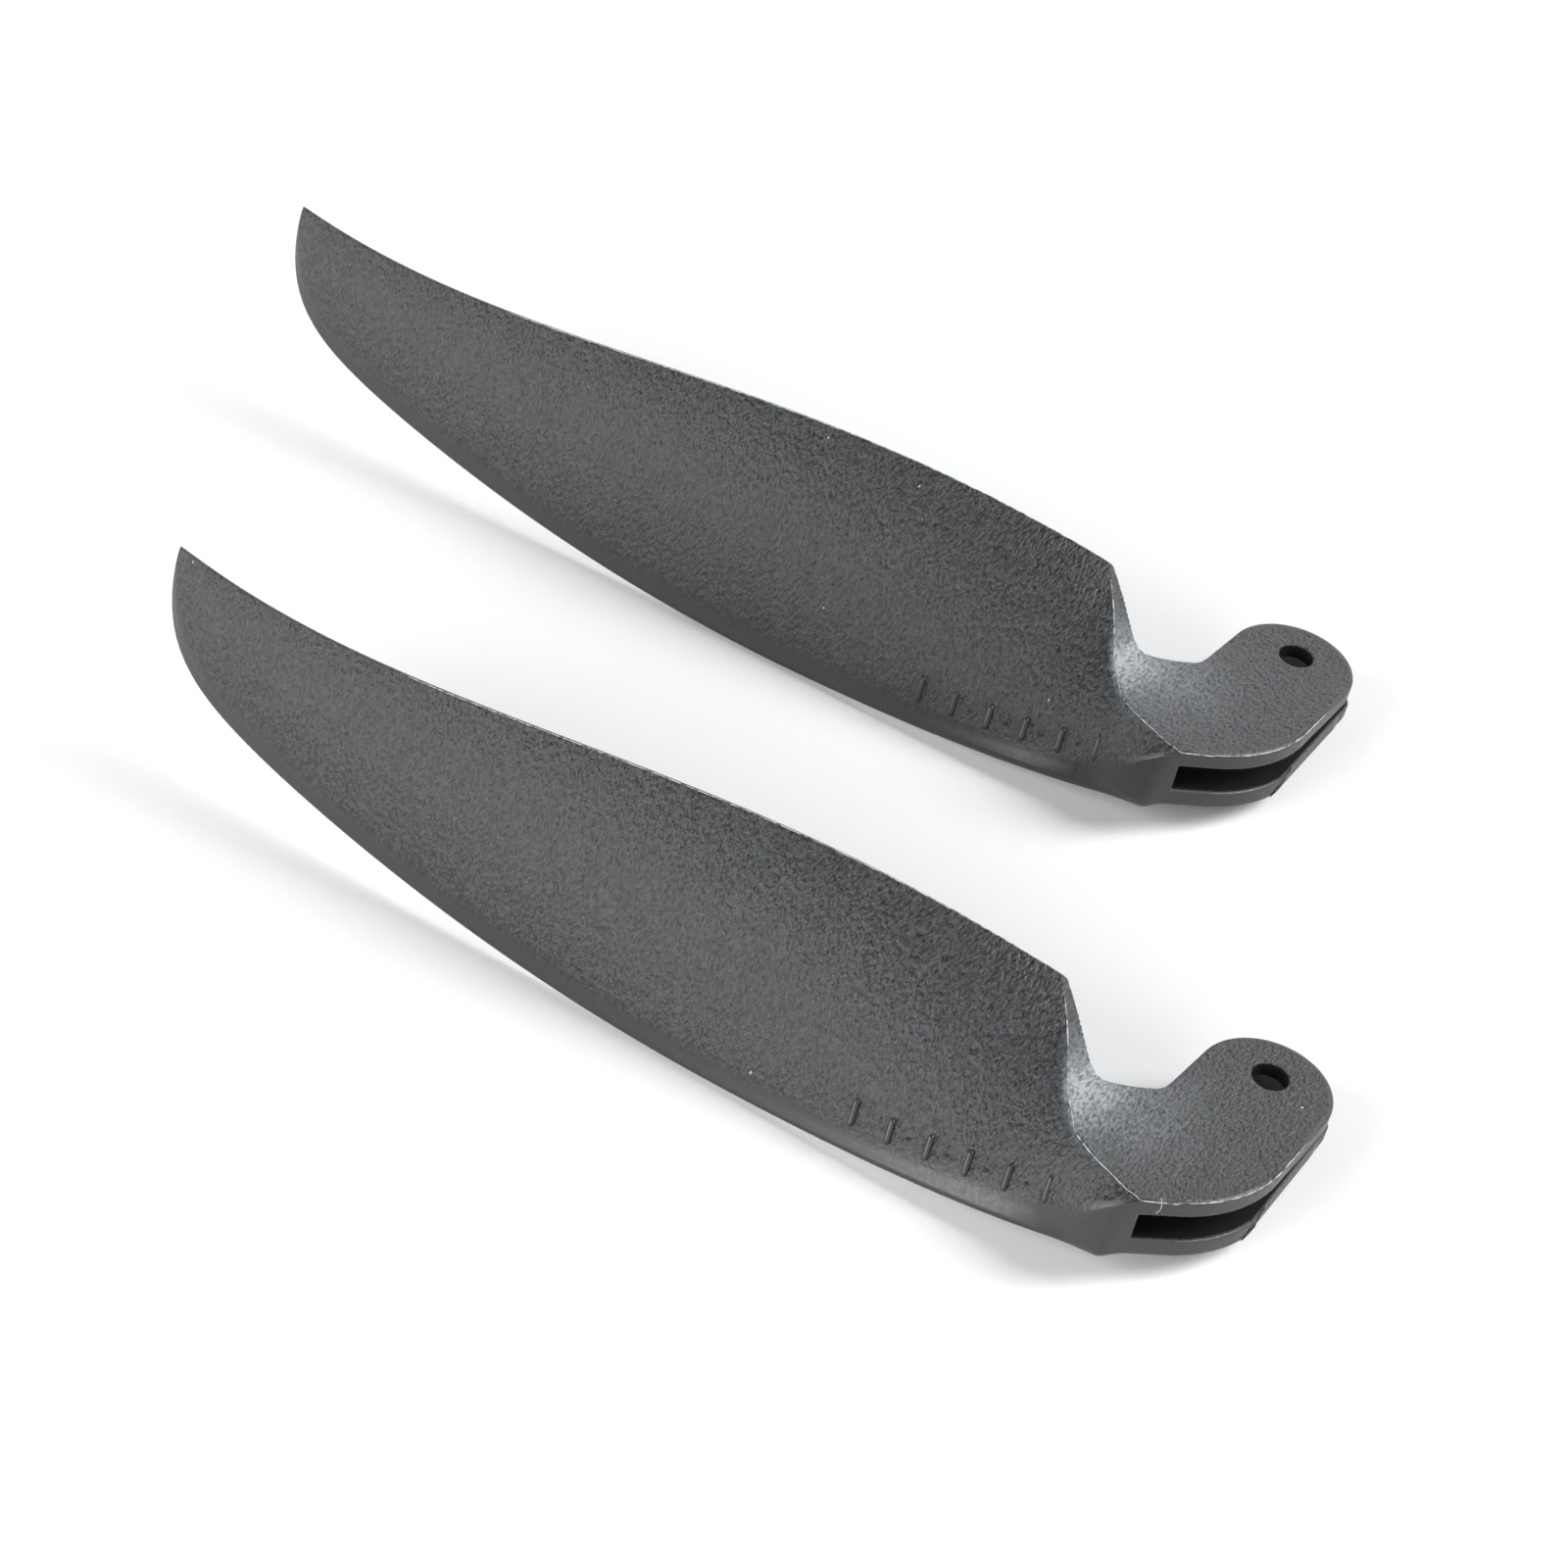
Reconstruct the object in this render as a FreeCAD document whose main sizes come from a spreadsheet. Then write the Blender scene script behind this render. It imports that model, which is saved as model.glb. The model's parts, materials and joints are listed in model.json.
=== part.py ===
import FreeCAD, Part
import math
import os
import Sketcher

# A pair of moulded folding-propeller blades for an electric glider, lying loose on a flat surface.
#
# Each blade is one moulding: a twisted blade, and at its root a forked lug whose two ears take the
# hinge pin of the propeller yoke.  The blade is drawn in its own frame:
#   origin  on the hinge-pin axis, in the flat top face of the fork
#   -X      outward, along the blade, to the tip
#   -Y      forward, the way the propeller pulls
#   +Z      along the hinge pin; the trailing edge is high and the leading edge is low
# Each finished blade is then laid down, nose up and rolled back, on the plane z = 0.

SHEET_VALUES = {
    # overall
    "tip_radius": 111.0,         # hinge pin to tip
    "pin_offset": 13.0,          # propeller shaft to hinge pin
    "prop_pitch": 190.5,         # advance per turn, 7.5 inches
    # chord, from the pin axis outward
    "chord_max": 22.8,
    "chord_drop": 6.6,
    "chord_rate_root": 1.95,     # degrees per millimetre of radius, inside the widest section
    "chord_rate": 2.1,           # and outside it
    "chord_peak": 41.9,          # radius of the widest section
    "tip_rounding": 3.87,
    # trailing edge line
    "edge_forward": 6.0,
    "edge_sweep_start": 29.2,
    "edge_sweep_power": 3.53,
    "edge_mean_height": -2.1,
    "edge_wave": 6.33,
    "edge_wave_peak": 28.1,
    "edge_wave_half": 91.9,
    # section
    "edge_thickness": 0.5,
    "nose_radius": 0.62,
    "front_bulge": 0.092,        # height of the front face's arc over its chord
    "back_hollow": 0.014,
    "root_swell": 0.22,          # extra bulge where the blade runs into the fork
    "swell_start": 16.0,
    "swell_end": 6.5,
    # fork
    "fork_height": 6.1,
    "ear_height": 1.55,
    "slot_height": 2.8,
    "pin_hole": 3.2,
    "lobe_radius": 5.82,
    "lobe_forward": 1.5,         # centre of the round end, forward of the pin
    "slot_end_front": 0.5,       # closed end of the slot at the front
    "slot_end_rear": 7.2,        # and at the rear
    "lower_ear_side": 5.5,       # the lower ear's hub side is set back to this
    "lower_ear_step": 9.8,       # up to here, forward of the pin
    # scooped root
    "shoulder_radius": 17.65,
    "scoop_slope": 31.6,         # degrees
    "scoop_radius": 5.0,
    # how the blades lie
    "nose_up": 10.07,            # degrees
    "rolled_back": 6.24,
    "rear_shift_out": 23.56,     # rear blade's hinge pin from the front blade's
    "rear_shift_back": 51.12,
}

# Radii of the lofted sections, close together where the root swells and the tip rounds off.
STATIONS = (2.0, 6.5, 9.5, 12.5, 16.0, 21.0, 29.0, 40.0, 52.0, 64.0, 76.0, 88.0, 96.0, 102.0,
            106.0, 108.5, 110.0, 110.75)

FORK_FRONT = (3.3, 22.8)         # (outward, forward) where the fork's front wall meets the leading edge
FORK_CORNER_RADIUS = 10.5        # rounded front corner at the hub end
FORK_WALL_ANGLE = 41.0           # front wall, degrees from outward
FORK_SIDE_ANGLE = 1.6            # hub-end side, degrees from forward
NOTCH = (6.3, 7.7)               # where the fork's outward side meets the blade root
ROOT_BACK = (9.4, 10.3)          # the web behind the blade root
ROOT_BURIED = (9.4, 18.0)        # ends inside the blade

doc = FreeCAD.newDocument("folding_blades")

sheet = doc.addObject("Spreadsheet::Sheet", "Sizes")
for row, (alias, number) in enumerate(SHEET_VALUES.items(), start=1):
    sheet.set("A%d" % row, alias)
    sheet.set("B%d" % row, repr(number))
    sheet.setAlias("B%d" % row, alias)
doc.recompute()


def size(alias):
    """A driving dimension, read back from the sheet."""
    return float(getattr(sheet, alias))


# ---------------------------------------------------------------- the blade's own laws

def chord_at(radius):
    """Section chord: a cosine swell, rounded off over the last few millimetres at the tip."""
    beyond = radius - size("chord_peak")
    rate = size("chord_rate") if beyond > 0.0 else size("chord_rate_root")
    wave = 1.0 - math.cos(math.radians(rate * beyond))
    full = size("chord_max") - size("chord_drop") * wave
    return full * math.sqrt(1.0 - math.exp((radius - size("tip_radius")) / size("tip_rounding")))


def trailing_edge_at(radius):
    """(forward, up) of the trailing edge."""
    start = size("edge_sweep_start")
    along = max(0.0, (radius - start) / (size("tip_radius") - start))
    forward = size("edge_forward") * (1.0 - along ** size("edge_sweep_power"))
    phase = math.pi * (radius - size("edge_wave_peak")) / size("edge_wave_half")
    return forward, size("edge_mean_height") + size("edge_wave") * math.cos(phase)


def bulge_at(radius):
    """Front-face height over chord: swollen at the root, steady further out."""
    blend = (size("swell_start") - radius) / (size("swell_start") - size("swell_end"))
    blend = min(1.0, max(0.0, blend))
    return size("front_bulge") + size("root_swell") * blend * blend * (3.0 - 2.0 * blend)


def slimming_at(radius):
    """Edge and nose thin down with the chord at the tip, and a little along the blade."""
    return min(1.0, chord_at(radius) / 9.0) * (1.0 - 0.25 * radius / size("tip_radius"))


def origin_plane(body, role):
    for feature in body.Origin.OriginFeatures:
        if feature.Role == role:
            return feature
    raise ValueError(role)


def new_sketch(body, name, role):
    sketch = body.newObject("Sketcher::SketchObject", name)
    sketch.AttachmentSupport = [(origin_plane(body, role), "")]
    sketch.MapMode = "FlatFace"
    return sketch


def circle_meeting(first, first_reach, second, second_reach, side):
    """Point at two given distances from two points, on the chosen side of the line between them."""
    gap = second - first
    along = (first_reach ** 2 - second_reach ** 2 + gap.Length ** 2) / (2.0 * gap.Length)
    off = math.sqrt(first_reach ** 2 - along ** 2)
    direction = gap / gap.Length
    normal = FreeCAD.Vector(-direction.y, direction.x, 0) * side
    return first + direction * along + normal * off


def arc_through(centre, radius, start, end, counter_clockwise):
    """Arc of a circle from start to end, as the sketcher stores it (always anticlockwise)."""
    if not counter_clockwise:
        start, end = end, start
    first = math.atan2(start.y - centre.y, start.x - centre.x)
    last = math.atan2(end.y - centre.y, end.x - centre.x)
    circle = Part.Circle(centre, FreeCAD.Vector(0, 0, 1), radius)
    return Part.ArcOfCircle(circle, first, last)


def blade_section(body, number, radius):
    """One section, drawn along its chord: trailing edge at the origin, leading edge on +x.

    The pressure face is on the +y side of the sketch and the front face on the -y side.
    """
    sketch = new_sketch(body, "Section%02d" % number, "YZ_Plane")
    forward, up = trailing_edge_at(radius)
    sketch.AttachmentOffset = FreeCAD.Placement(
        FreeCAD.Vector(-forward, up, -radius), FreeCAD.Rotation(FreeCAD.Vector(0, 0, 1), -90.0))
    helix = "atan(Sizes.prop_pitch / (2 * pi * (%r + Sizes.pin_offset)))" % radius
    sketch.setExpression(".AttachmentOffset.Rotation.Angle", "-90 deg - " + helix)

    chord = chord_at(radius)
    slim = slimming_at(radius)
    edge = size("edge_thickness") * slim
    nose = size("nose_radius") * slim
    front_radius = chord * (1.0 / (8.0 * bulge_at(radius)) + bulge_at(radius) / 2.0)
    back_radius = chord * (1.0 / (8.0 * size("back_hollow")) + size("back_hollow") / 2.0)

    # The nose circle stands a radius inside the chord's end and touches both faces.
    rear_corner = FreeCAD.Vector(0, edge / 2.0, 0)
    front_corner = FreeCAD.Vector(0, -edge / 2.0, 0)
    nose_centre = FreeCAD.Vector(chord - nose, 0, 0)
    front_centre = circle_meeting(front_corner, front_radius, nose_centre, front_radius - nose, 1)
    back_centre = circle_meeting(rear_corner, back_radius, nose_centre, back_radius + nose, 1)
    front_touch = nose_centre + (nose_centre - front_centre).normalize() * nose
    back_touch = nose_centre + (back_centre - nose_centre).normalize() * nose

    line = sketch.addGeometry(Part.LineSegment(rear_corner, front_corner))
    front = sketch.addGeometry(
        arc_through(front_centre, front_radius, front_corner, front_touch, True))
    tip = sketch.addGeometry(arc_through(nose_centre, nose, front_touch, back_touch, True))
    back = sketch.addGeometry(arc_through(back_centre, back_radius, back_touch, rear_corner, False))

    add = sketch.addConstraint
    add(Sketcher.Constraint("Vertical", line))
    add(Sketcher.Constraint("Symmetric", line, 1, line, 2, -1, 1))
    add(Sketcher.Constraint("Coincident", line, 2, front, 1))
    add(Sketcher.Constraint("Tangent", front, 2, tip, 1))
    add(Sketcher.Constraint("Tangent", tip, 2, back, 2))
    add(Sketcher.Constraint("Coincident", back, 1, line, 1))
    add(Sketcher.Constraint("PointOnObject", tip, 3, -1))
    edge_size = add(Sketcher.Constraint("Distance", line, edge))
    nose_size = add(Sketcher.Constraint("Radius", tip, nose))
    reach = add(Sketcher.Constraint("DistanceX", -1, 1, tip, 3, chord - nose))
    add(Sketcher.Constraint("Radius", front, front_radius))
    add(Sketcher.Constraint("Radius", back, back_radius))
    sketch.setExpression("Constraints[%d]" % edge_size, "Sizes.edge_thickness * %.6f" % slim)
    sketch.setExpression("Constraints[%d]" % nose_size, "Sizes.nose_radius * %.6f" % slim)
    sketch.setExpression(
        "Constraints[%d]" % reach,
        "Sizes.chord_max * %.8f - Sizes.nose_radius * %.6f" % (chord / size("chord_max"), slim))
    return sketch


def plan(outward, forward):
    """A point of the fork's plan, seen along the hinge pin."""
    return FreeCAD.Vector(-outward, -forward, 0)


def fork_outline(sketch):
    """Closed plan of the fork: round end at the pin, hub-end side, front corner, front wall."""
    lobe = plan(0.0, size("lobe_forward"))
    lobe_radius = size("lobe_radius")
    side = math.radians(FORK_SIDE_ANGLE)
    wall = math.radians(FORK_WALL_ANGLE)

    # Hub-end side, tangent to the round end.
    side_start = lobe + plan(-math.cos(side), math.sin(side)) * lobe_radius
    side_way = plan(math.sin(side), math.cos(side))
    # Front wall, ending at the leading edge.
    wall_end = plan(*FORK_FRONT)
    wall_way = plan(math.cos(wall), math.sin(wall))
    # Where both lines would meet, and how far back the corner arc starts on each.
    cross = side_way.x * wall_way.y - side_way.y * wall_way.x
    to_end = wall_end - side_start
    side_length = (to_end.x * wall_way.y - to_end.y * wall_way.x) / cross
    corner = side_start + side_way * side_length
    turn = math.acos(side_way.dot(wall_way))
    setback = FORK_CORNER_RADIUS * math.tan(turn / 2.0)
    arc_start = corner - side_way * setback
    arc_end = corner + wall_way * setback
    arc_centre = arc_start + plan(math.cos(side), -math.sin(side)) * FORK_CORNER_RADIUS

    # Outward side of the round end, out to the notch at the blade root.
    notch = plan(*NOTCH)
    reach = (notch - lobe).Length
    aim = math.atan2(notch.y - lobe.y, notch.x - lobe.x)
    open_angle = math.acos(lobe_radius / reach)
    round_end = lobe + FreeCAD.Vector(
        math.cos(aim - open_angle), math.sin(aim - open_angle), 0) * lobe_radius

    pieces = [
        arc_through(lobe, lobe_radius, side_start, round_end, True),
        Part.LineSegment(round_end, notch),
        Part.LineSegment(notch, plan(*ROOT_BACK)),
        Part.LineSegment(plan(*ROOT_BACK), plan(*ROOT_BURIED)),
        Part.LineSegment(plan(*ROOT_BURIED), wall_end),
        Part.LineSegment(wall_end, arc_end),
        arc_through(arc_centre, FORK_CORNER_RADIUS, arc_end, arc_start, True),
        Part.LineSegment(arc_start, side_start),
    ]
    for piece in pieces:
        sketch.addGeometry(piece)


def scoop_outline(sketch):
    """Profile above the root: from the shoulder down a slope, round a scoop, along the fork's top."""
    forward, shoulder_height = trailing_edge_at(size("shoulder_radius"))
    slope = math.radians(size("scoop_slope"))
    shoulder = FreeCAD.Vector(-size("shoulder_radius"), shoulder_height, 0)
    foot = FreeCAD.Vector(shoulder.x + shoulder_height / math.tan(slope), 0, 0)
    setback = size("scoop_radius") * math.tan(slope / 2.0)
    arc_start = foot + FreeCAD.Vector(-math.cos(slope), math.sin(slope), 0) * setback
    arc_end = foot + FreeCAD.Vector(setback, 0, 0)
    arc_centre = arc_end + FreeCAD.Vector(0, size("scoop_radius"), 0)
    clear = 30.0
    far_low = FreeCAD.Vector(clear, 0, 0)
    far_high = FreeCAD.Vector(clear, clear, 0)
    above = FreeCAD.Vector(shoulder.x, clear, 0)
    pieces = [
        Part.LineSegment(shoulder, arc_start),
        arc_through(arc_centre, size("scoop_radius"), arc_start, arc_end, True),
        Part.LineSegment(arc_end, far_low),
        Part.LineSegment(far_low, far_high),
        Part.LineSegment(far_high, above),
        Part.LineSegment(above, shoulder),
    ]
    for piece in pieces:
        sketch.addGeometry(piece)


def slot_outline(sketch):
    """Plan of the slot between the ears: open all round the fork, closed toward the blade."""
    front = plan(size("slot_end_front"), FORK_FRONT[1])
    rear = plan(size("slot_end_rear"), NOTCH[1])
    way = rear - front
    start = front - way * 0.3
    end = rear + way * 1.2
    clear = 20.0
    corners = [start, FreeCAD.Vector(clear, start.y, 0), FreeCAD.Vector(clear, end.y, 0), end]
    for first, last in zip(corners, corners[1:] + corners[:1]):
        sketch.addGeometry(Part.LineSegment(first, last))


def step_outline(sketch):
    """Plan of the set-back along the lower ear's hub side."""
    near = plan(-size("lower_ear_side"), size("lower_ear_step"))
    far = plan(-4.0 * size("lower_ear_side"), -size("lower_ear_step"))
    corners = [near, FreeCAD.Vector(far.x, near.y, 0), far, FreeCAD.Vector(near.x, far.y, 0)]
    for first, last in zip(corners, corners[1:] + corners[:1]):
        sketch.addGeometry(Part.LineSegment(first, last))


def cut(body, name, volume_before):
    """Recompute after a pocket, which must really remove material."""
    doc.recompute()
    if not body.Shape.Volume < volume_before - 1e-3:
        raise ValueError(name + " cuts nothing")


def make_blade(label, shift):
    body = doc.addObject("PartDesign::Body", label)
    body.Label = label

    sections = [blade_section(body, n, radius) for n, radius in enumerate(STATIONS)]
    loft = body.newObject("PartDesign::AdditiveLoft", "Blade")
    loft.Profile = sections[0]
    loft.Sections = sections[1:]
    loft.Ruled = False
    doc.recompute()

    fork_plan = new_sketch(body, "ForkPlan", "XY_Plane")
    fork_outline(fork_plan)
    fork = body.newObject("PartDesign::Pad", "Fork")
    fork.Profile = fork_plan
    fork.Reversed = True
    fork.setExpression("Length", "Sizes.fork_height")
    doc.recompute()

    volume = body.Shape.Volume
    scoop_profile = new_sketch(body, "ScoopProfile", "XZ_Plane")
    scoop_outline(scoop_profile)
    scoop = body.newObject("PartDesign::Pocket", "Scoop")
    scoop.Profile = scoop_profile
    scoop.Type = "ThroughAll"
    scoop.Midplane = True
    cut(body, "Scoop", volume)

    volume = body.Shape.Volume
    slot_plan = new_sketch(body, "SlotPlan", "XY_Plane")
    slot_outline(slot_plan)
    slot_plan.setExpression(".AttachmentOffset.Base.z", "-Sizes.ear_height")
    slot = body.newObject("PartDesign::Pocket", "Slot")
    slot.Profile = slot_plan
    slot.setExpression("Length", "Sizes.slot_height")
    cut(body, "Slot", volume)

    volume = body.Shape.Volume
    step_plan = new_sketch(body, "EarStepPlan", "XY_Plane")
    step_outline(step_plan)
    step_plan.setExpression(".AttachmentOffset.Base.z", "-Sizes.ear_height - Sizes.slot_height")
    step = body.newObject("PartDesign::Pocket", "EarStep")
    step.Profile = step_plan
    step.Type = "ThroughAll"
    cut(body, "EarStep", volume)

    volume = body.Shape.Volume
    hole_plan = new_sketch(body, "PinHolePlan", "XY_Plane")
    ring = hole_plan.addGeometry(Part.Circle(FreeCAD.Vector(0, 0, 0), FreeCAD.Vector(0, 0, 1), 1.0))
    hole_plan.addConstraint(Sketcher.Constraint("Coincident", ring, 3, -1, 1))
    bore = hole_plan.addConstraint(Sketcher.Constraint("Diameter", ring, size("pin_hole")))
    hole_plan.setExpression("Constraints[%d]" % bore, "Sizes.pin_hole")
    hole = body.newObject("PartDesign::Pocket", "PinHole")
    hole.Profile = hole_plan
    hole.Type = "ThroughAll"
    cut(body, "PinHole", volume)

    lie = FreeCAD.Rotation(FreeCAD.Vector(0, 1, 0), size("nose_up"))
    roll = FreeCAD.Rotation(FreeCAD.Vector(1, 0, 0), -size("rolled_back"))
    body.Placement = FreeCAD.Placement(shift, lie * roll)
    doc.recompute()
    return body


blades = [
    make_blade("front_blade", FreeCAD.Vector(0, 0, 0)),
    make_blade("rear_blade",
               FreeCAD.Vector(-size("rear_shift_out"), size("rear_shift_back"), 0)),
]

# Stand both blades on z = 0 and centre the pair over the origin.
for blade in blades:
    lift = blade.Shape.optimalBoundingBox(False, False).ZMin
    blade.Placement.Base = blade.Placement.Base - FreeCAD.Vector(0, 0, lift)
doc.recompute()
whole = FreeCAD.BoundBox()
for blade in blades:
    whole.add(blade.Shape.optimalBoundingBox(False, False))
centre = FreeCAD.Vector(whole.Center.x, whole.Center.y, 0)
for blade in blades:
    blade.Placement.Base = blade.Placement.Base - centre
doc.recompute()

for item in doc.Objects:
    if "Invalid" in item.State or "Error" in item.State:
        raise ValueError(item.Name + " failed: " + str(item.State))

os.makedirs("parts", exist_ok=True)
for blade in blades:
    shape = blade.Shape
    if shape.isNull() or not shape.isValid() or len(shape.Solids) != 1:
        raise ValueError(blade.Label + " is not one valid solid")
    shape.exportStep("parts/%s.step" % blade.Label)
    print(blade.Label, "volume %.1f mm3" % shape.Volume, "placed at", blade.Placement.Base)
print("box", whole.XLength, whole.YLength, whole.ZLength)
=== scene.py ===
import json
import math

import bpy
import numpy as np
from mathutils import Matrix, Vector


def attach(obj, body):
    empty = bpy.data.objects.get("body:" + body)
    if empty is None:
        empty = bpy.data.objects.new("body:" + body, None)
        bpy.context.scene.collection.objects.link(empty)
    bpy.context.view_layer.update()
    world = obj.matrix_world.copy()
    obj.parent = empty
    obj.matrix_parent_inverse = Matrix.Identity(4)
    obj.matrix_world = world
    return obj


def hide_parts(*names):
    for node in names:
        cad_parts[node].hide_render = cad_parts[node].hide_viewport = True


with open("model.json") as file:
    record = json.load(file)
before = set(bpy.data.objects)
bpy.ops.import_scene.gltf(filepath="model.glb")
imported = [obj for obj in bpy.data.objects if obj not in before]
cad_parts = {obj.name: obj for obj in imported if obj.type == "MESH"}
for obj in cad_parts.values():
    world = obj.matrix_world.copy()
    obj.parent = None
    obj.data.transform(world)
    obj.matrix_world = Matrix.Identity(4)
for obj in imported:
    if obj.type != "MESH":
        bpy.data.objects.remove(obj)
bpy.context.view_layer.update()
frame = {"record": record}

# A pair of moulded folding-propeller blades, each drawn in its own frame, in millimetres:
#   r  outward from the hinge pin, along the blade, to the tip
#   s  forward, the way the propeller pulls
#   h  up along the hinge pin, 0 at the fork's top face
# A section's own frame is x from trailing edge to leading edge, y out of the front face.

MM = 0.001

# Blade
TIP = 111.0                      # hinge pin to tip
PIN_OFFSET = 13.0                # propeller shaft to hinge pin
PITCH = 190.5                    # advance per turn
CHORD_MAX = 22.8
CHORD_DROP = 6.6
CHORD_RATE_ROOT = 1.95           # degrees per millimetre of radius, inside the widest section
CHORD_RATE = 2.1                 # and outside it
CHORD_PEAK = 41.9                # radius of the widest section
TIP_ROUNDING = 3.87
SWEEP_FORWARD = 6.0              # s of the trailing edge up to SWEEP_START, from where it runs back
SWEEP_START = 29.2
SWEEP_POWER = 3.53
EDGE_MEAN_HEIGHT = -2.1          # h of the trailing edge, which rises and falls in a wave
EDGE_WAVE = 6.33
EDGE_WAVE_PEAK = 28.1
EDGE_WAVE_HALF = 91.9
EDGE_THICKNESS = 0.5
EDGE_ROUND = 0.1
NOSE_RADIUS = 0.62
SLIM_CHORD = 9.0                 # below this chord the edges get thinner with it
TIP_THINNING = 0.25              # share of the edges' thickness lost from the root to the tip
FRONT_BULGE = 0.092
ROOT_SWELL = 0.205               # extra bulge where the blade runs into the fork
SWELL_START = 2.0
SWELL_LENGTH = 15.0
BACK_HOLLOW = 0.014
ROOT_HOLLOW = 0.03
HOLLOW_START = 13.0
HOLLOW_LENGTH = 14.0
BLADE_START = 3.1                # the blade is cut off this far outward from the pin

# Fork
FORK_HEIGHT = 6.1
FORK_SPARE = 3.0                 # the fork's block stands this much over its top before the scoop
UPPER_EAR = 1.55
SLOT_HEIGHT = 2.8
PIN_HOLE = 1.6                   # radius
LOBE = (-0.2, 1.5)               # centre of the round end
LOBE_RADIUS = 5.87
HUB_SIDE_ANGLE = 1.6
WALL_POINT = (3.3, 22.35)        # (r, s) on the fork's front wall
WALL_ANGLE = 38.5
CORNER_RADIUS = 12.0
FACET_POINT = (6.5, 21.4)        # (r, s) on the facet that cuts the wall's outward end
FACET_ANGLE = 38.0
FACET_RADIUS = 4.5
NOTCH = (6.2, 7.9)               # where the fork's outward side meets the blade's root
ROOT_BACK = (9.4, 10.9)          # the web behind the root ends here
CREASE_START = (0.7, 19.4)       # where the fork's flat top turns down to its wall
CREASE_FALL = 0.16
CREASE_BEND = 0.09
CREASE_BEND_START = 6.0
FACET_START = 0.2                # the turned-down facet steepens outward from here
FACET_TWIST_LENGTH = 7.5
FACET_STEEPEST = 57.0
SLOT_FRONT = (0.5, 22.6)         # closed end of the slot, at the front
SLOT_REAR = (7.2, 7.7)           # and at the rear
LOWER_EAR_SIDE = 5.5             # the lower ear's hub side is set back to this
LOWER_EAR_REACH = 1.8            # the lower ear's round end lies this much further back
LOWER_EAR_LIFT = 0.25            # and that part of it ends this much over the fork's underside

# Scooped root
SHOULDER = 17.65
SCOOP_SLOPE = 31.6
SCOOP_RADIUS = 5.0
LIP_HEIGHT = 0.16                # the top turns up by this at its front rim
LIP_WIDTH = 0.7
LIP_HALFWAY = 13.0               # at this s it is half as high, and it grows forward
LIP_FADE = 1.2
DISH_DEPTH = 0.14                # the top sinks by this away from its rim
DISH_WIDTH = 3.0

# Rounding
CREASE_ROUND = 0.1
BACK_CREASE_ROUND = 0.2
CREASE_ROUND_FALL = 0.05         # from the back's rounding to the front's, per millimetre forward
OUTER_ROUND = 0.25
SLOT_ROUND = 0.12
WEB_BLEND = 2.0
NOTCH_BLEND = 0.5
RIM_BLEND = 5.0

# Mesh
CELL = 0.16                      # grid of the root's mesh
JOIN = 20.0                      # the root's mesh ends and the blade's rings begin
ROOT_GRID = ((-7.0, JOIN), (-6.6, 23.6), (-13.4, 5.0))        # its reach in r, s and h
SEAM_WIDTH = 0.25                # from the root's mesh to the first ring
RING_STEP = 0.8
TIP_ZONE = 6.0                   # the rings crowd together in this much of the tip
TIP_RINGS = 34
FIRST_TIP_STEP = 0.7
TIP_GAP = 0.0015                 # the last ring is this much short of the tip
SLANT = np.array([0.31, 0.17, 0.93])             # a direction that no rod runs along

# Where the moulding is grained or dusty, where its top has a paler patch, and where shade is painted dark
# into the slot and the pin hole
GRAIN_STRETCH = np.array([1.0, 0.55, 0.55])      # the grain is drawn out along the chord
SMOOTH_EDGE = 1.2                # band along the leading edge that has no grain
SMOOTH_FADE = 1.6
SMOOTH_WALL = 0.12               # the fork's walls have none either, this near to the plan's outline
SMOOTH_WALL_FADE = 0.25
WALL_GRAIN_LENGTH = 3.0          # outward of WALL_POINT the grain comes back over this length
DUST_DEPTH = 0.35                # dust lies on the scooped top only, this near to it
DUST_SPOT = (11.0, 13.0)
DUST_SPREAD = (2.3, 4.5)
DUST_AMOUNT = 0.9
# A paler patch over the middle of the top, drawn in the dust's colour
TOP_PALE_SPOT = (7.0, 12.0)
TOP_PALE_SPREAD = (4.5, 6.0)
TOP_PALE_AMOUNT = 0.28
SLOT_LIT_RIM = 0.08              # the slot's walls get painted shade inward of this
BORE_PAINTED_SHADE_REACH = 0.35           # and the pin hole's wall gets painted shade, with this much around it
BORE_LIT_TOP = 0.12              # below this depth
PAINTED_SHADE_FADE = 0.2
ON_WALL = 0.03                   # a point this near to the slot's wall is on it

# Parting line: radii of the thin lines of flash along the crease and the trailing edge
FLASH_THIN = 0.026
FLASH_THICK = 0.065
EDGE_LINE_THIN = 0.03
EDGE_LINE_THICK = 0.045
EDGE_LINE_END = 84.0             # the trailing edge's line ends at this radius
FLASH_STEP = 0.2                 # distance between a line's points
FLASH_TAPER = 1.5                # length of both tapering ends
RIM_LINE_LENGTH = 14.0           # the line follows the fork's rim back by this much

# Raised strokes: where each starts and ends behind the leading edge, and how much it leans inward
OUTER_STROKE = (4.7, 2.1, 0.3)
LONG_STROKE = (4.4, 2.0, 0.35)
DOT = (3.3, 3.0, 0.12)
STROKE_OUTER = 27.8              # radius of the one that stands apart
STROKE_ROW = 24.2                # radius of the row's first
STROKE_GAP = 1.85
STROKE_COUNT = 9
STROKE_SIZE = 0.3                # radius of the rod that stands out of the face
STROKE_LIFT = 0.05               # its middle lies this much over the face

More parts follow.
